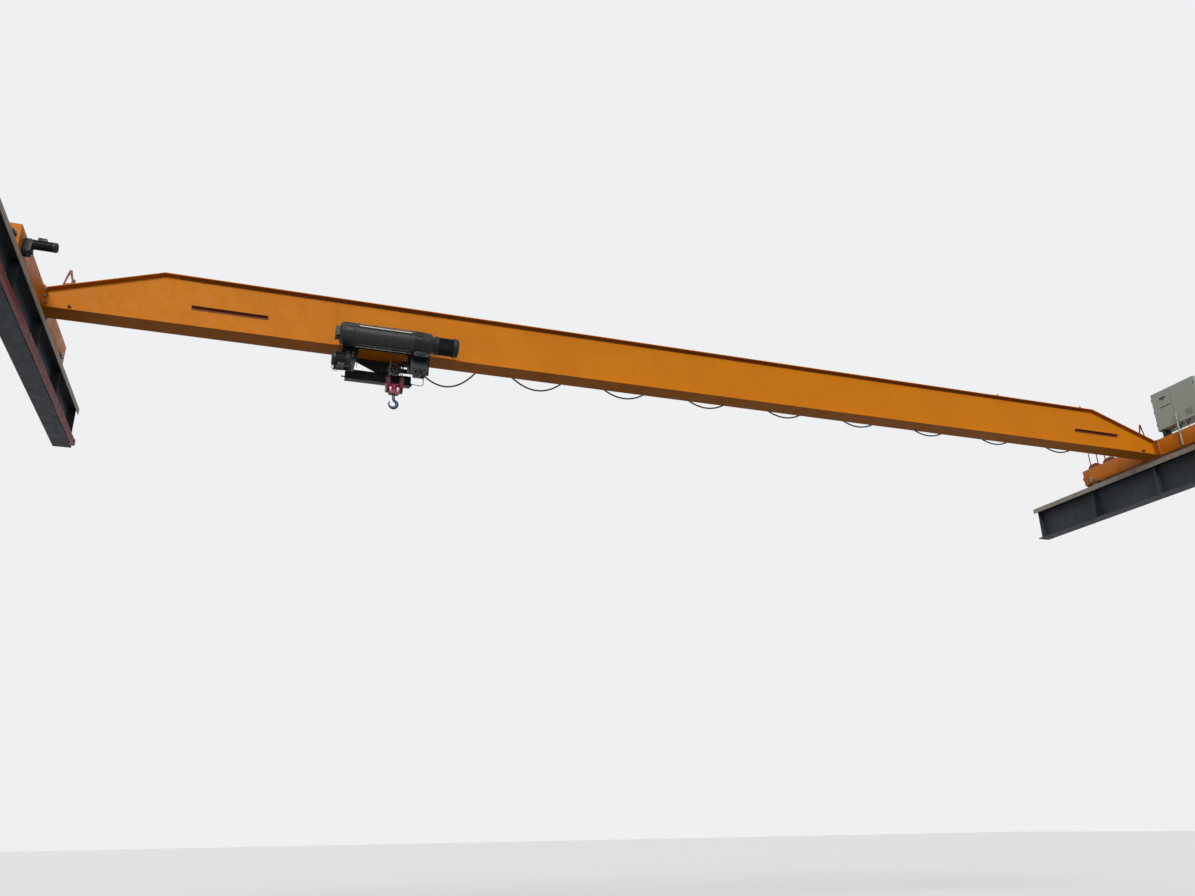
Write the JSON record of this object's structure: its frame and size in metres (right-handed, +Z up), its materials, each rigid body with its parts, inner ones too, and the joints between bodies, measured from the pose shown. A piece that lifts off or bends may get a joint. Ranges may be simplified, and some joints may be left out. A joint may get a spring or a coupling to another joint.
{
  "type": "overhead bridge crane",
  "caption": "Single box girder bridge crane on end carriages, with a low headroom rope hoist, hook block and cable festoon, on two lengths of runway.",
  "frame": {"origin": "underside of the left runway beam, at the middle of its length", "axes": "+X along the girder to the right rail, +Y along the runway away from the hoist's drum side, +Z up"},
  "size_m": [20.55, 6.6, 2.1116],
  "materials": {
    "girder_paint": "gloss yellow-orange paint",
    "carriage_paint": "gloss yellow-orange paint",
    "runway_paint": "dull dark grey paint",
    "rail_steel": "rolled steel worn bright on top",
    "cap_paint": "light paint under dust",
    "conductor_red": "red insulated conductor bar",
    "buffer_rubber": "black moulded rubber",
    "cabinet_paint": "light grey textured powder coat",
    "drive_paint": "dark paint on cast housings",
    "wheel_steel": "machined tread",
    "hoist_paint": "dark grey-green satin paint",
    "panel_paint": "dark blue-black powder coat",
    "drum_steel": "greased machined steel",
    "block_paint": "red paint",
    "sheave_steel": "greased cast iron",
    "hook_steel": "forged, dark",
    "rope_wire": "greased strands",
    "cable_rubber": "black sheathed cable",
    "carrier_steel": "plated and blackened"
  },
  "bodies": {
    "runway": {"left_runway_beam": "runway_paint", "right_runway_beam": "runway_paint", "runway_caps": "cap_paint", "runway_rails": "rail_steel", "conductor_bar": "conductor_red"},
    "bridge": {"girder_top_flange": "girder_paint", "girder_bottom_flange": "girder_paint", "girder_webs": "girder_paint", "web_strips": "girder_paint", "left_end_carriage": "carriage_paint", "right_end_carriage": "carriage_paint", "carriage_buffers": "buffer_rubber", "anchor_brackets": "girder_paint", "control_cabinet": "cabinet_paint", "travel_drives": "drive_paint", "festoon_track": "girder_paint", "trolley_stops": "girder_paint", "festoon_cable": "cable_rubber"},
    "left_front_wheel": {"left_front_wheel": "wheel_steel"},
    "left_rear_wheel": {"left_rear_wheel": "wheel_steel"},
    "right_front_wheel": {"right_front_wheel": "wheel_steel"},
    "right_rear_wheel": {"right_rear_wheel": "wheel_steel"},
    "trolley": {"trolley_front_plate": "hoist_paint", "trolley_rear_plate": "hoist_paint", "trolley_yokes": "hoist_paint", "reeving_beam": "hoist_paint", "drum_frame": "hoist_paint", "drum_cover": "hoist_paint", "drum_end_housing": "hoist_paint", "hoist_gearbox": "hoist_paint", "hoist_motor": "drive_paint", "trolley_drive": "drive_paint", "trolley_panel": "panel_paint", "tow_arm": "hoist_paint", "hoist_ropes": "rope_wire"},
    "trolley_wheel_a": {"trolley_wheel_a": "wheel_steel"},
    "trolley_wheel_b": {"trolley_wheel_b": "wheel_steel"},
    "trolley_wheel_c": {"trolley_wheel_c": "wheel_steel"},
    "trolley_wheel_d": {"trolley_wheel_d": "wheel_steel"},
    "rope_drum": {"rope_drum": "drum_steel"},
    "return_sheave": {"return_sheave": "drum_steel"},
    "hook_block": {"block_frame": "block_paint"},
    "block_sheave_a": {"block_sheave_a": "sheave_steel"},
    "block_sheave_b": {"block_sheave_b": "sheave_steel"},
    "hook": {"hook": "hook_steel"},
    "cable_carrier_1": {"cable_carrier_1": "carrier_steel"},
    "cable_carrier_2": {"cable_carrier_2": "carrier_steel"},
    "cable_carrier_3": {"cable_carrier_3": "carrier_steel"},
    "cable_carrier_4": {"cable_carrier_4": "carrier_steel"},
    "cable_carrier_5": {"cable_carrier_5": "carrier_steel"},
    "cable_carrier_6": {"cable_carrier_6": "carrier_steel"},
    "cable_carrier_7": {"cable_carrier_7": "carrier_steel"},
    "cable_carrier_8": {"cable_carrier_8": "carrier_steel"}
  },
  "joints": [
    {"name": "bridge_travel", "type": "slide", "parent": "runway", "child": "bridge", "axis": [0, 1, 0], "range_m": [-1.3, 1.3]},
    {"name": "cross_travel", "type": "slide", "parent": "bridge", "child": "trolley", "axis": [1, 0, 0], "range_m": [-3.3, 12.7], "deforming": ["festoon_cable"]},
    {"name": "hook_lift", "type": "slide", "parent": "trolley", "child": "hook_block", "axis": [0, 0, 1], "range_m": [-6, 0], "deforming": ["hoist_ropes"]},
    {"name": "hook_swivel", "type": "hinge", "parent": "hook_block", "child": "hook", "pos_m": [4.97, 0, 0.21], "axis": [0, 0, 1], "continuous": true},
    {"name": "left_front_wheel_spin", "type": "hinge", "parent": "bridge", "child": "left_front_wheel", "pos_m": [0, -1.53, 0.8503], "axis": [1, 0, 0], "continuous": true},
    {"name": "left_rear_wheel_spin", "type": "hinge", "parent": "bridge", "child": "left_rear_wheel", "pos_m": [0, 1.53, 0.8503], "axis": [1, 0, 0], "continuous": true},
    {"name": "right_front_wheel_spin", "type": "hinge", "parent": "bridge", "child": "right_front_wheel", "pos_m": [20.2, -1.53, 0.8503], "axis": [1, 0, 0], "continuous": true},
    {"name": "right_rear_wheel_spin", "type": "hinge", "parent": "bridge", "child": "right_rear_wheel", "pos_m": [20.2, 1.53, 0.8503], "axis": [1, 0, 0], "continuous": true},
    {"name": "trolley_wheel_a_spin", "type": "hinge", "parent": "trolley", "child": "trolley_wheel_a", "pos_m": [4.3, -0.16, 0.8743], "axis": [0, 1, 0], "continuous": true},
    {"name": "trolley_wheel_b_spin", "type": "hinge", "parent": "trolley", "child": "trolley_wheel_b", "pos_m": [5.2, -0.16, 0.8743], "axis": [0, 1, 0], "continuous": true},
    {"name": "trolley_wheel_c_spin", "type": "hinge", "parent": "trolley", "child": "trolley_wheel_c", "pos_m": [4.3, 0.16, 0.8743], "axis": [0, 1, 0], "continuous": true},
    {"name": "trolley_wheel_d_spin", "type": "hinge", "parent": "trolley", "child": "trolley_wheel_d", "pos_m": [5.2, 0.16, 0.8743], "axis": [0, 1, 0], "continuous": true},
    {"name": "drum_turn", "type": "hinge", "parent": "trolley", "child": "rope_drum", "pos_m": [4.725, -0.44, 0.875], "axis": [1, 0, 0], "continuous": true},
    {"name": "return_sheave_turn", "type": "hinge", "parent": "trolley", "child": "return_sheave", "pos_m": [4.97, 0.1113, 0.66], "axis": [0, 1, 0], "continuous": true},
    {"name": "block_sheave_a_turn", "type": "hinge", "parent": "hook_block", "child": "block_sheave_a", "pos_m": [4.87, 0, 0.34], "axis": [1, 0, 0], "continuous": true},
    {"name": "block_sheave_b_turn", "type": "hinge", "parent": "hook_block", "child": "block_sheave_b", "pos_m": [5.07, 0, 0.34], "axis": [1, 0, 0], "continuous": true},
    {"name": "cable_carrier_1_slide", "type": "slide", "parent": "bridge", "child": "cable_carrier_1", "axis": [1, 0, 0], "range_m": [-3.0345, 11.6498]},
    {"name": "cable_carrier_2_slide", "type": "slide", "parent": "bridge", "child": "cable_carrier_2", "axis": [1, 0, 0], "range_m": [-2.6564, 10.1948]},
    {"name": "cable_carrier_3_slide", "type": "slide", "parent": "bridge", "child": "cable_carrier_3", "axis": [1, 0, 0], "range_m": [-2.2784, 8.7399]},
    {"name": "cable_carrier_4_slide", "type": "slide", "parent": "bridge", "child": "cable_carrier_4", "axis": [1, 0, 0], "range_m": [-1.9003, 7.2848]},
    {"name": "cable_carrier_5_slide", "type": "slide", "parent": "bridge", "child": "cable_carrier_5", "axis": [1, 0, 0], "range_m": [-1.5223, 5.8299]},
    {"name": "cable_carrier_6_slide", "type": "slide", "parent": "bridge", "child": "cable_carrier_6", "axis": [1, 0, 0], "range_m": [-1.1442, 4.3749]},
    {"name": "cable_carrier_7_slide", "type": "slide", "parent": "bridge", "child": "cable_carrier_7", "axis": [1, 0, 0], "range_m": [-0.7661, 2.92]},
    {"name": "cable_carrier_8_slide", "type": "slide", "parent": "bridge", "child": "cable_carrier_8", "axis": [1, 0, 0], "range_m": [-0.388, 1.4649]}
  ],
  "couplings": [
    {"joint": "left_front_wheel_spin", "follows": "bridge_travel", "rad_per_m": -10},
    {"joint": "left_rear_wheel_spin", "follows": "bridge_travel", "rad_per_m": -10},
    {"joint": "right_front_wheel_spin", "follows": "bridge_travel", "rad_per_m": -10},
    {"joint": "right_rear_wheel_spin", "follows": "bridge_travel", "rad_per_m": -10},
    {"joint": "trolley_wheel_a_spin", "follows": "cross_travel", "rad_per_m": 16.667},
    {"joint": "trolley_wheel_b_spin", "follows": "cross_travel", "rad_per_m": 16.667},
    {"joint": "trolley_wheel_c_spin", "follows": "cross_travel", "rad_per_m": 16.667},
    {"joint": "trolley_wheel_d_spin", "follows": "cross_travel", "rad_per_m": 16.667},
    {"joint": "drum_turn", "follows": "hook_lift", "rad_per_m": 26.438},
    {"joint": "return_sheave_turn", "follows": "hook_lift", "rad_per_m": -20},
    {"joint": "block_sheave_a_turn", "follows": "hook_lift", "rad_per_m": -26.954},
    {"joint": "block_sheave_b_turn", "follows": "hook_lift", "rad_per_m": 8.9847},
    {"joint": "cable_carrier_1_slide", "follows": "cross_travel", "ratio": 0.91652},
    {"joint": "cable_carrier_2_slide", "follows": "cross_travel", "ratio": 0.80195},
    {"joint": "cable_carrier_3_slide", "follows": "cross_travel", "ratio": 0.68739},
    {"joint": "cable_carrier_4_slide", "follows": "cross_travel", "ratio": 0.57282},
    {"joint": "cable_carrier_5_slide", "follows": "cross_travel", "ratio": 0.45826},
    {"joint": "cable_carrier_6_slide", "follows": "cross_travel", "ratio": 0.34369},
    {"joint": "cable_carrier_7_slide", "follows": "cross_travel", "ratio": 0.22913},
    {"joint": "cable_carrier_8_slide", "follows": "cross_travel", "ratio": 0.11456}
  ]
}
